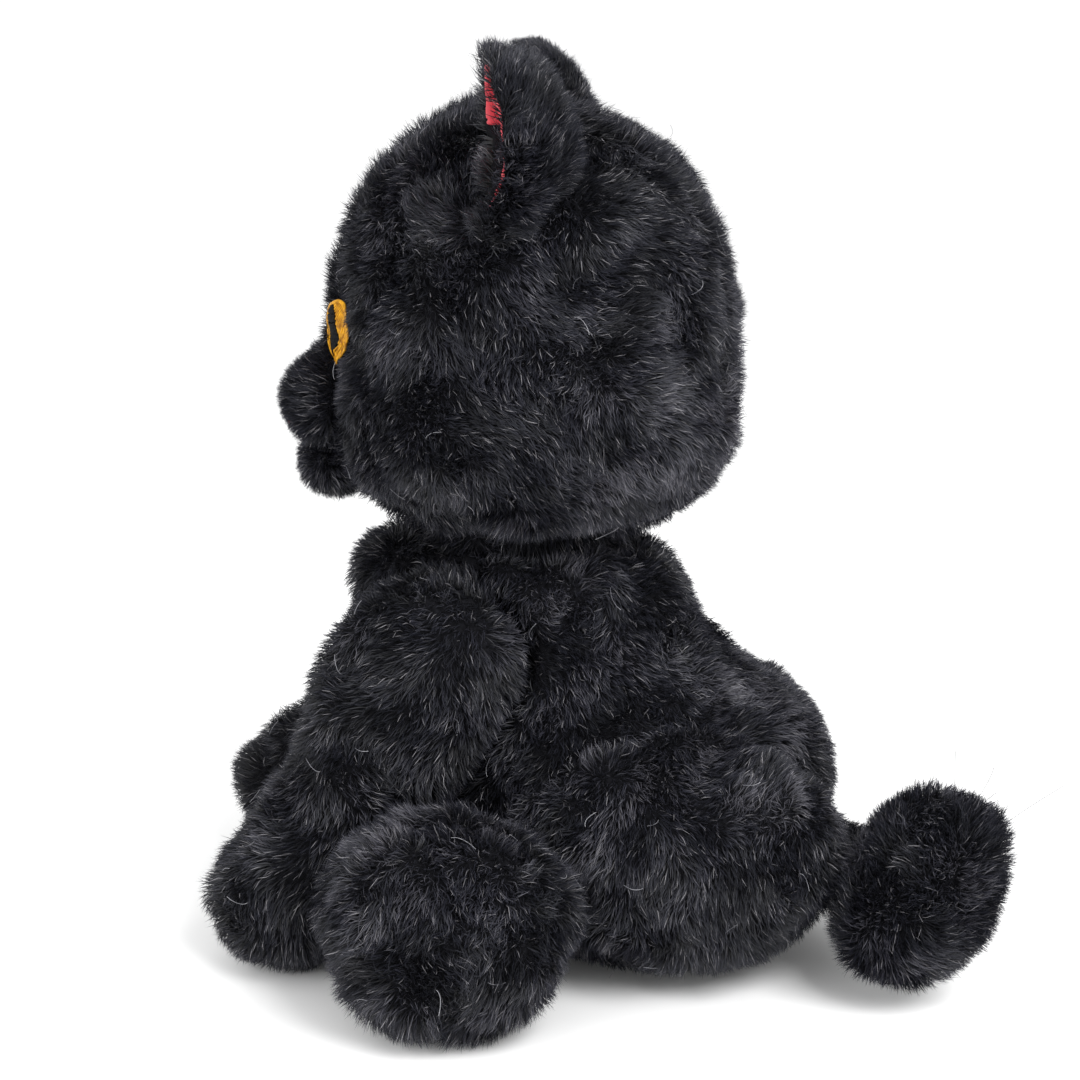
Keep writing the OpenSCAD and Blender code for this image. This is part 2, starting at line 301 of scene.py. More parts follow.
def welded(name, nodes, material):
    """One welded copy of CAD nodes."""
    bm = bmesh.new()
    for node in nodes:
        bm.from_mesh(frame["nodes"][node].data)
    bmesh.ops.remove_doubles(bm, verts=bm.verts, dist=0.01 * MM)
    mesh = bpy.data.meshes.new(name)
    bm.to_mesh(mesh)
    bm.free()
    return link(name, mesh, material)


def tree_of(*sources):
    """A search tree of the surfaces of CAD nodes or of finished pieces."""
    bm = bmesh.new()
    for source in sources:
        bm.from_mesh(frame["nodes"][source].data if isinstance(source, str) else source.data)
    tree = BVHTree.FromBMesh(bm)
    bm.free()
    return tree


def nearness(co, tree):
    """Distance from each point to a surface, below zero inside it."""
    out = np.empty(len(co))
    for i, p in enumerate(co):
        spot, normal, _, far = tree.find_nearest(Vector(p))
        out[i] = -far if (Vector(p) - spot).dot(normal) < 0 else far
    return out


def regrid(obj, size, rounds):
    """An even grid of faces over a mesh, its corners rounded off."""
    remesh = obj.modifiers.new("grid", "REMESH")
    remesh.mode, remesh.voxel_size = "VOXEL", size * MM
    settle(obj)
    soft = obj.modifiers.new("round", "SMOOTH")
    soft.iterations, soft.factor = rounds, 0.5
    return settle(obj)


def smooth_faces(obj):
    obj.data.polygons.foreach_set("use_smooth", np.ones(len(obj.data.polygons), bool))


def inflate(skin, held, pressure):
    """Blows a skin up as cloth, kept in place where held is above zero."""
    group = skin.vertex_groups.new(name="held")
    for i, weight in enumerate(held):
        group.add([i], float(weight), "REPLACE")
    cloth = skin.modifiers.new("cloth", "CLOTH")
    cloth.settings.use_pressure = True
    cloth.settings.uniform_pressure_force = pressure
    cloth.settings.effector_weights.gravity = 0
    cloth.settings.vertex_group_mass = "held"
    cloth.settings.quality = 4
    cloth.settings.tension_stiffness = cloth.settings.compression_stiffness = 5
    cloth.settings.bending_stiffness = 0.4
    for at in range(1, CLOTH_FRAMES + 1):
        scene.frame_set(at)
    settle(skin)
    scene.frame_set(1)
    skin.vertex_groups.clear()
    return points(skin)


def stuffed(name, nodes, near, grid=4.0, shrink=1.0, cap=2.6, lumps=0.9, seams=(), swell=(), pressure=9.0):
    """A sewn skin, filled tight.

    A welded copy of the CAD is drawn in by shrink, blown up as cloth by cap at most, and held where it meets
    its neighbours. A swell is a place, its reach and a push; a seam is a plane and how deep it is drawn in.
    """
    skin = regrid(welded(name, nodes, BACKING), grid, 4)
    start = points(skin) - normals(skin) * shrink * MM
    put(skin, start)
    held = np.zeros(len(start))
    if near:
        gap = np.abs(nearness(start, tree_of(*near))) - shrink * MM
        held = np.clip(1.25 - gap / (7 * MM), 0, 1)
    way = normals(skin)
    blown = inflate(skin, held, pressure)
    move = blown - start
    rise = (move * way).sum(1, keepdims=True)
    slide = move - way * rise
    slide *= np.minimum(1, 1.2 * MM / np.maximum(np.linalg.norm(slide, axis=1, keepdims=True), 1e-9))
    co = start + way * np.clip(rise, 0, cap * MM) + slide
    for centre, reach, push in swell:
        share = np.exp(-(((co - np.array(centre) * MM) / (np.array(reach) * MM)) ** 2).sum(1))
        co = co + share[:, None] * np.array(push) * MM
    put(skin, co)
    finer = skin.modifiers.new("finer", "SUBSURF")
    finer.levels = finer.render_levels = 1
    settle(skin)
    co, way = points(skin), normals(skin)
    seed = len(name)
    depth = lumps * MM * waves(co, 22 * MM, seed) * 0.7 + lumps * MM * 0.5 * waves(co, 11 * MM, seed + 1)
    for at, across, deep in seams:
        off = (co - np.array(at) * MM) @ unit(np.array(across, float))
        depth -= deep * MM * np.exp(-(off / (2.2 * MM)) ** 2)
    co = co + way * depth[:, None]
    co[:, 2] = np.maximum(co[:, 2], FLOOR_CLEAR)
    put(skin, co)
    smooth_faces(skin)
    return skin


def cut(skin, name, keep):
    """The part of a skin whose face middles keep() takes, as its own panel."""
    bm = bmesh.new()
    bm.from_mesh(skin.data)
    middles = np.array([f.calc_center_median() for f in bm.faces])
    wanted = keep(middles)
    bmesh.ops.delete(bm, geom=[f for f, w in zip(bm.faces, wanted) if not w], context="FACES")
    mesh = bpy.data.meshes.new(name)
    bm.to_mesh(mesh)
    bm.free()
    return link(name, mesh, BACKING)


def wall(obj, thick=1.4):
    """The fabric's own thickness, inwards."""
    solid = obj.modifiers.new("thickness", "SOLIDIFY")
    solid.thickness, solid.offset, solid.use_rim = thick * MM, -1, True


def dress(obj, body, slot, *nodes, fill=None):
    """The piece stands for its CAD nodes and rides on its body."""
    if nodes:
        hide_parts(*nodes)
    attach(obj, body)
    return obj


# ---------------------------------------------------------------- pile


def scatter(skin, count, open_at, seed):
    """Seeded points on a skin, with their normals, where open_at is above zero."""
    rng = np.random.default_rng(seed)
    mesh = skin.data
    mesh.calc_loop_triangles()
    tri = np.zeros(len(mesh.loop_triangles) * 3, np.int32)
    mesh.loop_triangles.foreach_get("vertices", tri)
    tri = tri.reshape(-1, 3)
    co, way = points(skin), normals(skin)
    corners = co[tri]
    area = np.linalg.norm(np.cross(corners[:, 1] - corners[:, 0], corners[:, 2] - corners[:, 0]), axis=1)
    chance = area * np.clip(open_at[tri].mean(1), 0, 1)
    pick = np.searchsorted(np.cumsum(chance) / chance.sum(), rng.random(count))
    pick = np.minimum(pick, len(tri) - 1)
    share = rng.random((count, 2))
    over = share.sum(1) > 1
    share[over] = 1 - share[over]
    share = np.column_stack([1 - share.sum(1), share])[:, :, None]
    return (corners[pick] * share).sum(1), unit((way[tri][pick] * share).sum(1)), rng


def tufted(root, tip, drift, clump, rng):
    """How far each tip is pulled to the middle of its tuft."""
    cell = np.floor((root + 0.8 * MM * drift) / (clump * MM)).astype(np.int64)
    _, group = np.unique(cell @ np.array([73856093, 19349663, 83492791]), return_inverse=True)
    group = group.ravel()
    size = np.bincount(group)
    centre = np.column_stack([np.bincount(group, tip[:, k]) / size for k in range(3)])
    return centre[group], np.clip(rng.normal(0.42, 0.16, len(root)), 0, 0.8)[:, None]


def blades(name, co, lightness):
    """Ribbons of five points each, a quad and a triangle, with their lightness in U and their length in V."""
    count = len(lightness)
    loops = (np.arange(count)[:, None] * 5 + np.array([0, 1, 2, 3, 3, 2, 4])).ravel()
    starts = (np.arange(count)[:, None] * 7 + np.array([0, 4])).ravel()
    uv = np.zeros((count, 7, 2))
    uv[:, :, 0] = lightness[:, None]
    uv[:, :, 1] = [0, 0, 0.5, 0.5, 0.5, 0.5, 1]
    mesh = bpy.data.meshes.new(name)
    mesh.vertices.add(count * 5)
    mesh.vertices.foreach_set("co", co.astype(np.float32).ravel())
    mesh.loops.add(count * 7)
    mesh.loops.foreach_set("vertex_index", loops.astype(np.int32))
    mesh.polygons.add(count * 2)
    mesh.polygons.foreach_set("loop_start", starts.astype(np.int32))
    mesh.update(calc_edges=True)
    mesh.uv_layers.new(name="pile_uv").data.foreach_set("uv", uv.astype(np.float32).ravel())
    return link(name, mesh, PILE)


def fibres(name, skin, count, comb, seed, open_at, long=5.4, wide=0.23, lean=(22, 56), swirl=1.0,
           shorten=None, painted_highlight=None, clump=2.6):
    """Pile: short tapering blades of three triangles, combed, bent and gathered into small tufts."""
    root, out, rng = scatter(skin, count, open_at, seed)
    drift = np.column_stack([waves(root, 30 * MM, seed + k) for k in (11, 12, 13)])
    fine = np.column_stack([waves(root, 7 * MM, seed + k) for k in (21, 22, 23)])
    way = np.array(comb) + swirl * drift + 0.5 * fine + rng.normal(0, 0.42, (count, 3))
    way = unit(way - out * (way * out).sum(1, keepdims=True))
    low, high = (math.radians(a) for a in lean)
    tilt = (low + high) / 2 + (high - low) / 2 * waves(root, 17 * MM, seed + 31) + rng.normal(0, 0.2, count)
    tilt = np.clip(tilt, 0.1, 1.12)[:, None]
    first = unit(out * np.cos(tilt * 0.8) + way * np.sin(tilt * 0.8))
    last = unit(out * np.cos(tilt * 1.15) + way * np.sin(tilt * 1.15)
                + rng.normal(0, 0.26, (count, 3)) - np.array([0, 0, 0.1]))
    length = long * MM * rng.uniform(0.72, 1.12, count) * (1 + 0.12 * waves(root, 14 * MM, seed + 41))
    if shorten is not None:
        length *= shorten(root)
    base = root - out * 0.3 * MM
    middle = base + first * (length * 0.5)[:, None]
    tip = middle + last * (length * 0.5)[:, None]
    centre, pull = tufted(root, tip, drift, clump, rng)
    tip = tip + (centre - tip) * pull
    middle = middle + (centre - tip) * pull * 0.12
    middle[:, 2] = np.maximum(middle[:, 2], FLOOR_CLEAR)
    tip[:, 2] = np.maximum(tip[:, 2], FLOOR_CLEAR)
    side = unit(np.cross(last, out + rng.normal(0, 0.55, (count, 3))))
    side = side * (wide * MM / 2 * rng.uniform(0.75, 1.25, count))[:, None]
    upper = side * 0.85
    co = np.stack([base - side, base + side, middle + upper, middle - upper, tip], 1).reshape(-1, 3)
    co[:, 2] = np.maximum(co[:, 2], FLOOR_CLEAR)
    # Each fibre's lightness: its own tone, patchy at random, with painted highlight added from the lit spots;
    # a few fibres are light grey.
    lightness = 0.37 + 0.26 * waves(root, 16 * MM, seed + 51) + rng.normal(0, 0.2, count)
    if painted_highlight is not None:
        lightness += 1.5 * painted_highlight(root)
    lightness = np.clip(lightness, 0.02, 0.91)
    lightness[rng.random(count) < 0.045] = 0.97
    return blades(name, co, lightness)


ASKEW = Vector((0.31, 0.17, 0.94)).normalized()


def inside(tree, at):
    """True where an odd number of walls stand on the way out."""
    walls = 0
    while True:
        spot, _, _, _ = tree.ray_cast(at, ASKEW)
        if spot is None:
            return walls % 2 == 1
        walls += 1
        at = spot + ASKEW * 0.02 * MM


def clear_of(skin, *near):
    """1 where the skin is open to the air, 0 where a neighbour lies close over it."""
    tree = tree_of(*near)
    trees = [tree_of(one) for one in near]
    out = np.ones(len(skin.data.vertices))
    for i, (p, n) in enumerate(zip(points(skin), normals(skin))):
        spot, _, _, far = tree.ray_cast(Vector(p + n * 0.05 * MM), Vector(n), 9 * MM)
        if spot is not None:
            out[i] = min(max((far / MM - 3.5) / 5, 0), 1)
        if any(inside(one, Vector(p)) for one in trees):
            out[i] = 0
    return out


# ---------------------------------------------------------------- skins

LEGS = ["front_leg_left", "front_leg_right"]
HAUNCHES = ["haunch_left", "haunch_right"]
HEAD = ["head_left_panel", "head_right_panel", "head_gusset"]
TORSO = ["torso_left_panel", "torso_right_panel"]

head = stuffed("head_skin", [*HEAD, "head_stuffing"], ["neck_stuffing"], cap=3.2, lumps=1.3,
               seams=[((17, 0, 0), (1, 0, 0), 0.8), ((-17, 0, 0), (1, 0, 0), 0.8)],
               swell=[((0, 34, 136), (55, 20, 24), (0, 3.5, -1)), ((0, -22, 114), (50, 50, 9), (0, 0, -2.5)),
                      ((0, -56, 119), (40, 20, 13), (0, -2, -5)), ((0, 18, 119), (45, 20, 13), (0, 0, -5))])
torso = stuffed("torso_skin", [*TORSO, "seat_panel", "torso_stuffing", "pellet_pouch"],
                [*LEGS, *HAUNCHES, "tail_root", *HEAD], lumps=1.2, seams=[((0, 0, 0), (1, 0, 0), 0.9)],
                swell=[((0, -60, 104), (34, 16, 13), (0, -8, 2)), ((0, 10, 104), (34, 18, 13), (0, 10, 2)),
                       ((34, -16, 106), (14, 22, 12), (8, 0, 2)), ((-34, -16, 106), (14, 22, 12), (-8, 0, 2)),
                       ((0, 58, 46), (44, 20, 20), (0, 5, 0)), ((0, 44, 84), (40, 20, 15), (0, -2.5, -1)),
                       ((0, -60, 90), (26, 14, 22), (0, -4, 0))])
skins = {}
for side, s in (("left", 1), ("right", -1)):
    skins["front_leg_" + side] = stuffed(
        "front_leg_" + side + "_skin", ["front_leg_" + side, "front_leg_" + side + "_stuffing"], TORSO,
        grid=3.5, lumps=1.0, seams=[((35 * s, 0, 0), (1, 0, 0), 0.8)],
        swell=[((35 * s, -66, 84), (24, 16, 26), (0, -5, 0)),
               ((-37, -102, 34), (24, 22, 18), (0, -6, 0)), ((-37, -98, 60), (24, 18, 13), (0, 4, -3))])
    skins["haunch_" + side] = stuffed(
        "haunch_" + side + "_skin", ["haunch_" + side, "haunch_" + side + "_stuffing"], TORSO,
        grid=3.5, lumps=1.2)
    skins["hind_foot_" + side] = stuffed(
        "hind_foot_" + side + "_skin", ["hind_foot_" + side, "hind_foot_" + side + "_stuffing"],
        ["haunch_" + side], grid=3.5, lumps=1.1, seams=[((72 * s, 0, 0), (1, 0.1, 0), 0.8)])
neck = stuffed("neck_skin", ["neck_stuffing"], [], grid=3, shrink=-1.5, cap=1.5, lumps=0.3)
skins["tail_root"] = stuffed("tail_root_skin", ["tail_root", "tail_root_stuffing"], [],
                             grid=2.5, cap=1.5, lumps=0.4)
skins["tail_end"] = stuffed("tail_end_skin", ["tail_end", "tail_end_stuffing"], ["tail_root"],
                            grid=3, lumps=0.9)


def set_tail(co):
    """The end of the tail stands a little higher and leans back."""
    mid = np.array([47, 84, 25]) * MM
    rel = (co - mid) * [1, 0.94, 1.02]
    return mid + rel + np.outer(0.14 * rel[:, 2] - 2 * MM, [0, 1, 0]) + np.array([0, 0, 6.5]) * MM


put(skins["tail_end"], set_tail(points(skins["tail_end"])))
skins["muzzle"] = stuffed(
    "muzzle_skin", ["muzzle_panel", "muzzle_stuffing"], HEAD, grid=2, cap=2.2, lumps=0.4,
    seams=[((0, 0, 0), (1, 0, 0), 1.4)],
    swell=[((0, -84, 158), (22, 14, 7), (0, 3, 0)), ((0, -80, 143), (22, 14, 7), (0, -2.5, 0)),
           ((0, -72, 166), (18, 10, 6), (0, -1, 2))])
skins["chin"] = stuffed("chin_skin", ["chin_panel", "chin_stuffing"], HEAD, grid=2, cap=2.2, lumps=0.3,
                        swell=[((0, -74, 128), (18, 14, 9), (0, -2.5, 0))])

# ---------------------------------------------------------------- ears


def ear_frame(s):
    """Middle of an ear's rim, the way its tip points and the way its back faces."""
    up = unit(np.array([0.12 * s, -0.05, 0.99]))
    back = unit(np.array([-0.15 * s, 0.98, 0.07]))
    across = unit(np.cross(back, up))
    return np.array([45 * s, -24, 214]) * MM, up, np.cross(up, across)


def set_ear(co, at, up, s):
    """The cup set low under its pile, rounder at the tip, fuller at the foot, and turned outwards."""
    rel = co - at
    high = rel @ up
    rel = rel + np.outer(np.where(high > -6 * MM, -0.26 * (high + 6 * MM), 0.12 * (high + 6 * MM)), up)
    turn = math.radians(4) * s
    rel[:, 0], rel[:, 1] = (rel[:, 0] * math.cos(turn) - rel[:, 1] * math.sin(turn),
                            rel[:, 0] * math.sin(turn) + rel[:, 1] * math.cos(turn))
    rel[:, 1] -= (1.2 + 1.2 * np.clip((high - 8 * MM) / (24 * MM), 0, 1)) * MM
    rel[:, 1] -= 6 * MM * np.exp(-((high + 16 * MM) / (10 * MM)) ** 2)
    return at + rel


ears, linings = {}, {}
for side, s in (("left", 1), ("right", -1)):
    at, up, _ = ear_frame(s)
    ear = regrid(welded(f"ear_{side}_skin", [f"ear_{side}_back"], BACKING), 1.3, 5)
    co = points(ear)
    co = co + normals(ear) * (0.5 * MM * waves(co, 14 * MM, 5 + s))[:, None]
    put(ear, set_ear(co, at, up, s))
    smooth_faces(ear)
    ears[side] = ear
    lining = regrid(welded(f"ear_{side}_satin", [f"ear_{side}_lining"], SATIN), 0.7, 3)
    co = points(lining)
    co = co + normals(lining) * (0.15 * MM * waves(co, 7 * MM, 3))[:, None]
    put(lining, set_ear(co, at, up, s))
    smooth_faces(lining)
    linings[side] = lining

# ---------------------------------------------------------------- panels

panels = [
    (cut(head, "head_left_fabric", lambda m: m[:, 0] > GUSSET_HALF), "head", "head_left_panel", 0.85),
    (cut(head, "head_right_fabric", lambda m: m[:, 0] < -GUSSET_HALF), "head", "head_right_panel", 0.85),
    (cut(head, "head_gusset_fabric", lambda m: np.abs(m[:, 0]) <= GUSSET_HALF), "head", "head_gusset", 0.85),
    (cut(torso, "torso_left_fabric", lambda m: (m[:, 0] >= 0) & (m[:, 2] > 2.5 * MM)),
     "torso", "torso_left_panel", 0.8),
    (cut(torso, "torso_right_fabric", lambda m: (m[:, 0] < 0) & (m[:, 2] > 2.5 * MM)),
     "torso", "torso_right_panel", 0.8),
    (cut(torso, "seat_fabric", lambda m: m[:, 2] <= 2.5 * MM), "torso", "seat_panel", 0.7),
]
for obj, body, node, fill in panels:
    wall(obj)
    dress(obj, body, "pile", node, fill=fill)

BODY = {"haunch_left": "torso", "haunch_right": "torso", "muzzle": "head", "chin": "head"}
NODE = {"muzzle": "muzzle_panel", "chin": "chin_panel"}
for key, skin in skins.items():
    skin.name = key + "_fabric"
    wall(skin, 1.2)
    dress(skin, BODY.get(key, key), "pile", NODE.get(key, key), fill=0.8)
neck.name = "neck_fabric"
dress(neck, "neck", "pile", fill=0.8)
for side in ("left", "right"):
    ears[side].name = f"ear_{side}_fabric"
    dress(ears[side], "ear_" + side, "pile", f"ear_{side}_back", fill=0.3)
    dress(linings[side], "ear_" + side, "satin", f"ear_{side}_lining")

# ---------------------------------------------------------------- fur


def bump_at(centre, reach):
    """A soft spot round a place, 1 at its middle and fading over its reach; it places both the painted
    highlights on the fur and the shorter pile on the face.
    """
    centre = np.array(centre) * MM
    return lambda root: np.exp(-(((root - centre) / (np.array(reach) * MM)) ** 2).sum(1))


# Painted highlight: the fibres are made lighter in soft spots where light falls on the fur.
def painted_highlights_at(*spots):
    made = [(bump_at(c, r), k) for c, r, k in spots]
    return lambda root: sum(k * f(root) for f, k in made)


def eye_spot(s):
    way = np.array([math.sin(EYE_TURN) * s, -math.cos(EYE_TURN), 0])
    across = np.array([math.cos(EYE_TURN) * s, math.sin(EYE_TURN), 0])
    return way, across


def eye_room(root):
    """Below 1 on and close round an eye, in eye widths."""
    best = np.full(len(root), 9.0)
    for s in (1, -1):
        way, across = eye_spot(s)
        rel = root - SKULL
        v = (root[:, 2] - EYE_Z) / EYE_HALF[1]
        u = rel @ across / EYE_HALF[0] - v * EYE_SLANT * EYE_HALF[1] / EYE_HALF[0]
        best = np.where(rel @ way > 0, np.minimum(best, np.hypot(u, v)), best)
    return best


def near_face(root):
    """Shorter pile round the eyes and on the face."""
    face = bump_at((0, -74, 160), (30, 16, 24))(root)
    return np.clip(np.minimum(0.5 + 0.6 * (eye_room(root) - 0.9), 1 - 0.3 * face), 0.3, 1)


def bridge(root):
    """Full pile on the bridge between the eyes, trimmed only at their edges."""
    return np.clip(0.75 + 0.8 * (eye_room(root) - 1), 0.45, 1)


head_open = clear_of(head, torso) * (eye_room(points(head)) > 0.96)
torso_open = clear_of(torso, head, *(skins[k] for k in (*LEGS, *HAUNCHES, "tail_root")))
# Painted highlights on the fur where light falls: the head and nape, the back and shoulder, the tops of the
# feet and haunches, and the tail.
HEAD_PAINTED_HIGHLIGHT = painted_highlights_at(((57, 12, 130), (30, 26, 12), 0.34), ((0, 36, 140), (60, 20, 26), 0.26),
                    ((50, -40, 200), (30, 20, 20), 0.14))
BACK_PAINTED_HIGHLIGHT = painted_highlights_at(((40, 50, 80), (60, 26, 26), 0.36), ((30, -10, 110), (30, 20, 14), 0.2))
SOFT_PAINTED_HIGHLIGHT = painted_highlights_at(((72, -36, 50), (24, 30, 16), 0.22), ((-72, -36, 50), (24, 30, 16), 0.22),
                    ((52, 20, 62), (20, 40, 14), 0.22), ((-52, 20, 62), (20, 40, 14), 0.22),
                    ((47, 84, 40), (20, 22, 20), 0.16))


def part_open(skin, base, keep):
    return base * keep(points(skin))


piles = [
    (fibres("head_left_pile", head, 57000, (0, 0.8, -0.7), 101, shorten=near_face, painted_highlight=HEAD_PAINTED_HIGHLIGHT,
            open_at=part_open(head, head_open, lambda p: p[:, 0] > GUSSET_HALF)), "head"),
    (fibres("head_right_pile", head, 57000, (0, 0.8, -0.7), 102, shorten=near_face, painted_highlight=HEAD_PAINTED_HIGHLIGHT,
            open_at=part_open(head, head_open, lambda p: p[:, 0] < -GUSSET_HALF)), "head"),
    (fibres("head_gusset_pile", head, 44000, (0, 1, 0.1), 103, long=6.4, shorten=bridge, painted_highlight=HEAD_PAINTED_HIGHLIGHT,
            open_at=part_open(head, head_open, lambda p: np.abs(p[:, 0]) <= GUSSET_HALF)), "head"),
    (fibres("torso_left_pile", torso, 42000, (0, 0.3, -1), 104, painted_highlight=BACK_PAINTED_HIGHLIGHT,
            open_at=part_open(torso, torso_open, lambda p: (p[:, 0] >= 0) & (p[:, 2] > 1 * MM))), "torso"),
    (fibres("torso_right_pile", torso, 42000, (0, 0.3, -1), 105, painted_highlight=BACK_PAINTED_HIGHLIGHT,
            open_at=part_open(torso, torso_open, lambda p: (p[:, 0] < 0) & (p[:, 2] > 1 * MM))), "torso"),
]
for side, s in (("left", 1), ("right", -1)):
    seed = 200 + 40 * (s > 0)
    leg, haunch, foot = (skins[k + side] for k in ("front_leg_", "haunch_", "hind_foot_"))
    piles += [
        (fibres(f"front_leg_{side}_pile", leg, 33000, (0, -0.5, -1), seed + 1,
                open_at=clear_of(leg, torso)), f"front_leg_{side}"),
        (fibres(f"haunch_{side}_pile", haunch, 27000, (0, 0.3, -1), seed + 2, painted_highlight=SOFT_PAINTED_HIGHLIGHT,
                open_at=clear_of(haunch, torso)), "torso"),
        (fibres(f"hind_foot_{side}_pile", foot, 31000, (0.2 * s, -0.7, -0.6), seed + 3, long=6,
                painted_highlight=SOFT_PAINTED_HIGHLIGHT, open_at=clear_of(foot, haunch)), f"hind_foot_{side}"),
    ]
    at, _, _ = ear_frame(s)
    ear = ears[side]
    outer = (normals(ear) * unit(points(ear) - at)).sum(1) > 0.2
    piles.append((fibres(f"ear_{side}_pile", ear, 20000, (0.25 * s, -0.1, 1), seed + 4, long=6.2, swirl=0.7,
                         open_at=outer.astype(float)), f"ear_{side}"))
piles += [
    (fibres("tail_root_pile", skins["tail_root"], 6000, (0.5, 0.5, 0.2), 301, long=5,
            open_at=clear_of(skins["tail_root"], skins["tail_end"], torso)), "tail_root"),
    (fibres("tail_end_pile", skins["tail_end"], 21000, (0.2, 0.3, 1), 302, long=6.5, painted_highlight=SOFT_PAINTED_HIGHLIGHT,
            open_at=clear_of(skins["tail_end"], skins["tail_root"])), "tail_end"),
    (fibres("muzzle_pile", skins["muzzle"], 8000, (0, -1, -0.4), 303, long=5.2, lean=(10, 42),
            open_at=clear_of(skins["muzzle"], head)), "head"),
    (fibres("neck_pile", neck, 6000, (0, 0, -1), 305, long=5,
            open_at=(np.abs(points(neck)[:, 2] - NECK[2]) < 9 * MM).astype(float)), "neck"),
    (fibres("chin_pile", skins["chin"], 5000, (0, -0.8, -0.8), 304, long=5.2, lean=(10, 42),
            open_at=clear_of(skins["chin"], head)), "head"),
]
for obj, body in piles:
    dress(obj, body, "pile")

# ---------------------------------------------------------------- embroidery


def threads(name, paths, radius, material):
    """Round threads along paths, as one mesh."""
    curve = bpy.data.curves.new(name, "CURVE")
    curve.dimensions = "3D"
    curve.bevel_depth, curve.bevel_resolution, curve.use_fill_caps = radius * MM, 1, True
    for path in paths:
        spline = curve.splines.new("POLY")
        spline.points.add(len(path) - 1)
        co = np.column_stack([path, np.ones(len(path))])
        spline.points.foreach_set("co", co.astype(np.float32).ravel())
    drawn = bpy.data.objects.new(name, curve)
    scene.collection.objects.link(drawn)
    bpy.context.view_layer.update()
    mesh = bpy.data.meshes.new_from_object(drawn.evaluated_get(bpy.context.evaluated_depsgraph_get()))
    mesh.name = name
    bpy.data.objects.remove(drawn)
    obj = link(name, mesh, material)
    smooth_faces(obj)
    return obj


def laid(tree, centre, way, across, uv, lift, slant=0.0):
    """Points of a flat drawing, laid on a skin from outside and lifted off it."""
    out = []
    for u, v in uv:
        u += v * slant
        origin = centre + across * u + UP * v + way * 0.06
        spot, normal, _, _ = tree.ray_cast(Vector(origin), Vector(-way))
        if spot is not None:
            out.append(np.array(spot) + np.array(normal) * lift * MM)
    return np.array(out)


def in_leaf(at, size=1.0):
    """True inside a leaf of unit half sizes: rounder than a diamond, more pointed than an oval."""
    u, v = at.T / size
    return np.abs(u) < np.clip(1 - v * v, 0, 1) ** 0.72


def satin_stitch(half, pitch, slant, rng, hole=None, hole_at=(0, 0)):
    """Parallel threads that fill a leaf, each a line of flat points, broken at a hole."""
    a = math.radians(slant)
    run, step = np.array([math.cos(a), math.sin(a)]), np.array([-math.sin(a), math.cos(a)])
    paths = []
    for k in np.arange(-max(half) / pitch, max(half) / pitch + 1):
        middle = step * k * pitch + rng.normal(0, 0.04 * MM, 2)
        t = np.linspace(-1.3, 1.3, 80) * max(half)
        line = middle + np.outer(t, run)
        held = in_leaf(line / half, 1 + rng.normal(0, 0.015))
        if hole is not None:
            held &= ~in_leaf((line - hole_at) / hole)
        edges = np.flatnonzero(np.diff(np.concatenate([[0], held.astype(int), [0]])))
        for first, last in zip(edges[::2], edges[1::2]):
            if last - first > 2:
                paths.append(line[np.linspace(first, last - 1, 7).astype(int)])
    return paths


def sew(name, paths, radius, material, slot, node):
    """The threads of one embroidered piece; a path that missed the skin is left out."""
    dress(threads(name, [path for path in paths if len(path) > 1], radius, material), "head", slot, node)


head_tree = tree_of(head)
rng = np.random.default_rng(7)
for side, s in (("left", 1), ("right", -1)):
    way, across = eye_spot(s)
    centre = SKULL * [1, 1, 0] + UP * EYE_Z + way * 0.05
    fill = satin_stitch(EYE_HALF, 0.7 * MM, 58, rng, PUPIL_HALF, PUPIL_IN)
    turn = np.linspace(0, 2 * math.pi, 49)
    rim = np.column_stack([np.sign(np.cos(turn)) * np.abs(np.cos(turn)) ** 1.44, np.sin(turn)])
    ring = [rim * EYE_HALF * k for k in (1.0, 0.955)]
    gold = [laid(head_tree, centre, way, across, path, 1.9 + 0.15 * (k % 2), EYE_SLANT)
            for k, path in enumerate(fill)]
    gold += [laid(head_tree, centre, way, across, path, 2.15, EYE_SLANT) for path in ring]
    sew(f"eye_{side}_stitches", gold, 0.3, GOLD, "gold_thread", f"eye_{side}")
    dark = [laid(head_tree, centre, way, across, path + PUPIL_IN, 2.1, EYE_SLANT)
            for path in satin_stitch(PUPIL_HALF * 1.08, 0.40 * MM, 8, rng)]
    sew(f"pupil_{side}_stitches", dark, 0.28, BLACK, "black_thread", f"pupil_{side}")

FRONT, RIGHT = np.array([0.0, -1.0, 0.0]), np.array([1.0, 0.0, 0.0])
muzzle_tree = tree_of(skins["muzzle"])
nose_rows = []
for v in np.arange(-4.5, 4.6, 0.42):
    reach = 6.5 * (v + 5.2) / 9.7 * (1 - 0.12 * max(0, v - 3))
    u = np.linspace(-reach, reach, 9) * MM
    nose_rows.append(np.column_stack([u, np.full(9, v * MM + rng.normal(0, 0.03 * MM))]))
nose_at = MUZZLE + UP * 6 * MM
nose = [laid(muzzle_tree, nose_at, FRONT, RIGHT, row, 1.6) for row in nose_rows]
sew("nose_stitches", nose, 0.27, RED, "red_thread", "nose")
mouth = []
for k in range(3):
    mouth.append(np.column_stack([np.full(8, (k - 1) * 0.35), np.linspace(1.5, -6.5, 8)]) * MM)
for s in (1, -1):
    for k in range(2):
        u = np.linspace(0, 9, 14)
        mouth.append(np.column_stack([u * s, -6.5 + k * 0.5 - 2.2 * np.sin(u / 9 * math.pi)]) * MM)
mouth = [laid(muzzle_tree, MUZZLE, FRONT, RIGHT, path, 1.8) for path in mouth]
sew("mouth_stitches", mouth, 0.28, RED, "red_thread", "mouth_stitch")

# ---------------------------------------------------------------- lint and stray hairs


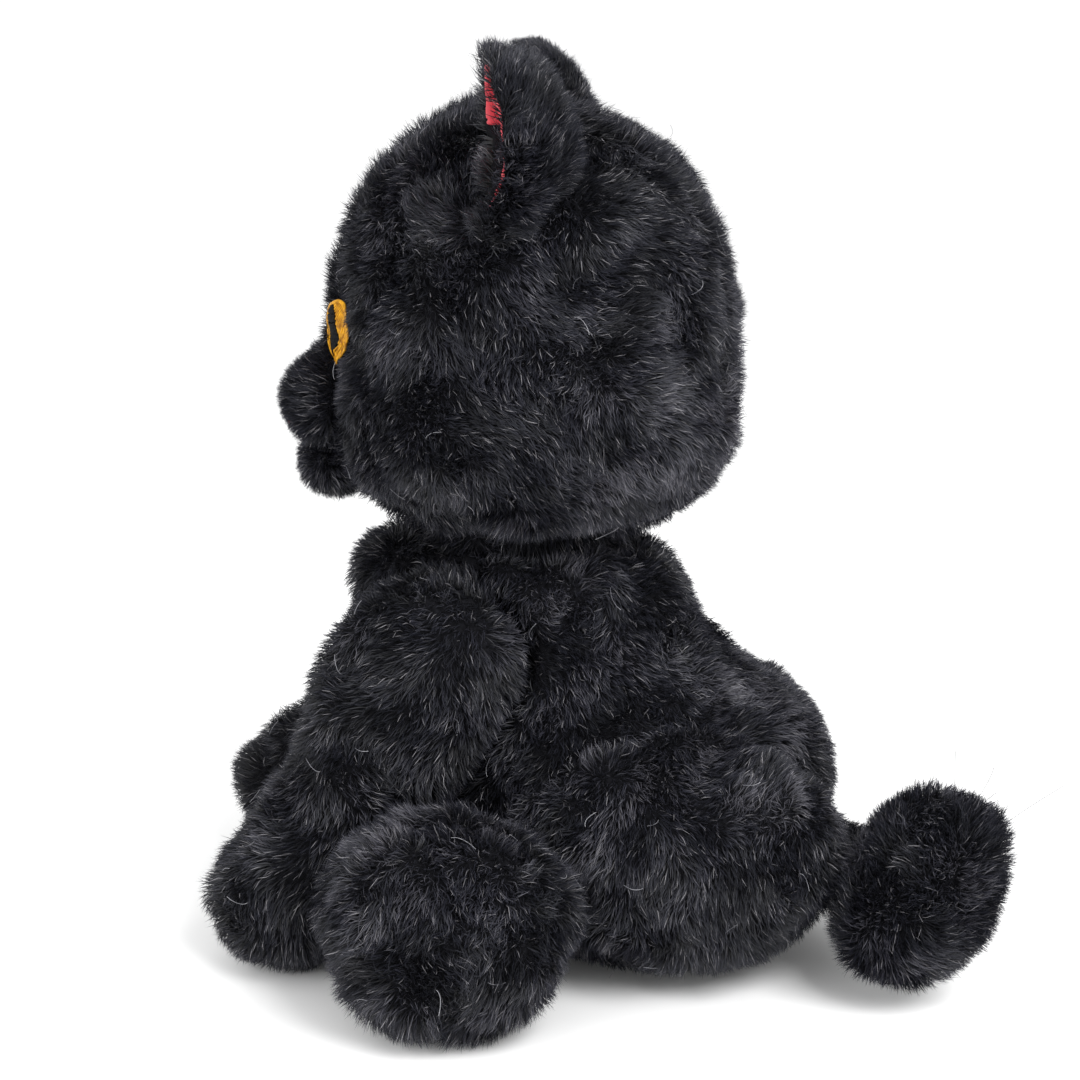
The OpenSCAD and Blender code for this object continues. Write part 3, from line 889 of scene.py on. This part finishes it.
def hairs(skin, count, seed, long, curl, keep=None):
    """Loose hairs that lie on or stand out of the pile."""
    open_at = np.ones(len(skin.data.vertices)) if keep is None else keep(points(skin)).astype(float)
    root, out, rng = scatter(skin, count, open_at, seed)
    paths = []
    for p, n in zip(root, out):
        way = unit(rng.normal(size=3))
        way = unit(way - n * (way @ n) + n * (0.1 if curl else 1.6))
        bend = unit(np.cross(way, n + rng.normal(0, 0.3, 3)))
        at, path = p + n * rng.uniform(1.5, 4.5) * MM, []
        step = long * MM * rng.uniform(0.5, 1.2) / 9
        for k in range(10):
            path.append(at.copy())
            way = unit(way + bend * (0.33 if curl else 0.05) * rng.uniform(0.2, 1.6))
            at = at + way * step
        path = np.array(path)
        path[:, 2] = np.maximum(path[:, 2], FLOOR_CLEAR * 2)
        paths.append(path)
    return paths


dress(threads("head_lint", hairs(head, 46, 401, 6, True), 0.045, LINT), "head", "pile")
torso_hairs = hairs(torso, 34, 402, 6, True) + hairs(skins["haunch_left"], 12, 403, 6, True)
dress(threads("torso_lint", torso_hairs, 0.045, LINT), "torso", "pile")
for k, key in enumerate(("front_leg_left", "front_leg_right", "hind_foot_left", "hind_foot_right")):
    dress(threads(key + "_lint", hairs(skins[key], 14, 410 + k, 6, True), 0.045, LINT), key, "pile")
top = hairs(skins["tail_end"], 9, 420, 15, False, lambda p: p[:, 2] > 44 * MM)
dress(threads("tail_end_stray_hairs", top, 0.06, BLACK), "tail_end", "pile")

for whole in (head, torso):
    bpy.data.objects.remove(whole)

# ---------------------------------------------------------------- inside


def packing(name, node, body, finish, slot, fill, inset, rough):
    """Loose filling inside a skin: a little smaller than its space, and lumpy."""
    small = any(word in name for word in ("tail", "chin", "muzzle"))
    lump = regrid(welded(name, [node], finish), 1.5 if small else 3, 3)
    co = points(lump)
    co = co + normals(lump) * ((waves(co, 9 * MM, len(name)) * rough - inset) * MM)[:, None]
    put(lump, set_tail(co) if "tail_end" in name else co)
    smooth_faces(lump)
    dress(lump, body, slot, node, fill=fill)


for body, nodes in frame["record"]["behaviour"]["bodies"].items():
    for node in nodes:
        if node.endswith("stuffing"):
            packing(node.replace("stuffing", "fibrefill"), node, body, FILL, "fill", 0.8, 1.6, 0.5)
        elif node == "pellet_pouch":
            packing("pellet_bag", node, body, CALICO, "pouch", 0.6, 1.2, 0.6)

# ---------------------------------------------------------------- floor, light, camera

bm = bmesh.new()
bmesh.ops.create_grid(bm, x_segments=2, y_segments=2, size=12)
floor_mesh = bpy.data.meshes.new("floor")
bm.to_mesh(floor_mesh)
bm.free()
floor = link("floor", floor_mesh, PALE)

world = bpy.data.worlds.new("studio")
scene.world = world
world.use_nodes = True
world.node_tree.nodes["Background"].inputs["Color"].default_value = rgb(1, 1, 1)
world.node_tree.nodes["Background"].inputs["Strength"].default_value = 1.1


def soft_light(name, at, toward, size, power):
    lamp = bpy.data.lights.new(name, "AREA")
    lamp.size, lamp.energy = size, power
    obj = bpy.data.objects.new(name, lamp)
    obj.location = at
    obj.rotation_euler = (Vector(toward) - Vector(at)).to_track_quat("-Z", "Y").to_euler()
    scene.collection.objects.link(obj)


soft_light("key", (0.55, 0.45, 0.75), (0, 0, 0.12), 0.5, 9)
soft_light("fill", (0.7, -0.7, 0.5), (0, 0, 0.1), 0.6, 4)

CAMERA_TURN, CAMERA_RISE, CAMERA_FAR = math.radians(92.5), math.radians(13), 0.560
AIM = np.array([0, 0, 0.120])
view_back = np.array([math.sin(CAMERA_TURN) * math.cos(CAMERA_RISE),
                      -math.cos(CAMERA_TURN) * math.cos(CAMERA_RISE),
                      math.sin(CAMERA_RISE)])
view_right = np.array([math.cos(CAMERA_TURN), math.sin(CAMERA_TURN), 0])
view_up = np.cross(view_back, view_right)
lens_at = AIM + view_back * CAMERA_FAR
aim_at = AIM - view_right * 0.018 - view_up * 0.0115
camera = bpy.data.objects.new("camera", bpy.data.cameras.new("camera"))
camera.data.lens, camera.data.sensor_width = 69.7, 36
camera.data.clip_start = 0.01
camera.location = lens_at
camera.rotation_euler = Vector(aim_at - lens_at).to_track_quat("-Z", "Y").to_euler()
scene.collection.objects.link(camera)
scene.camera = camera
scene.view_settings.view_transform = "Standard"
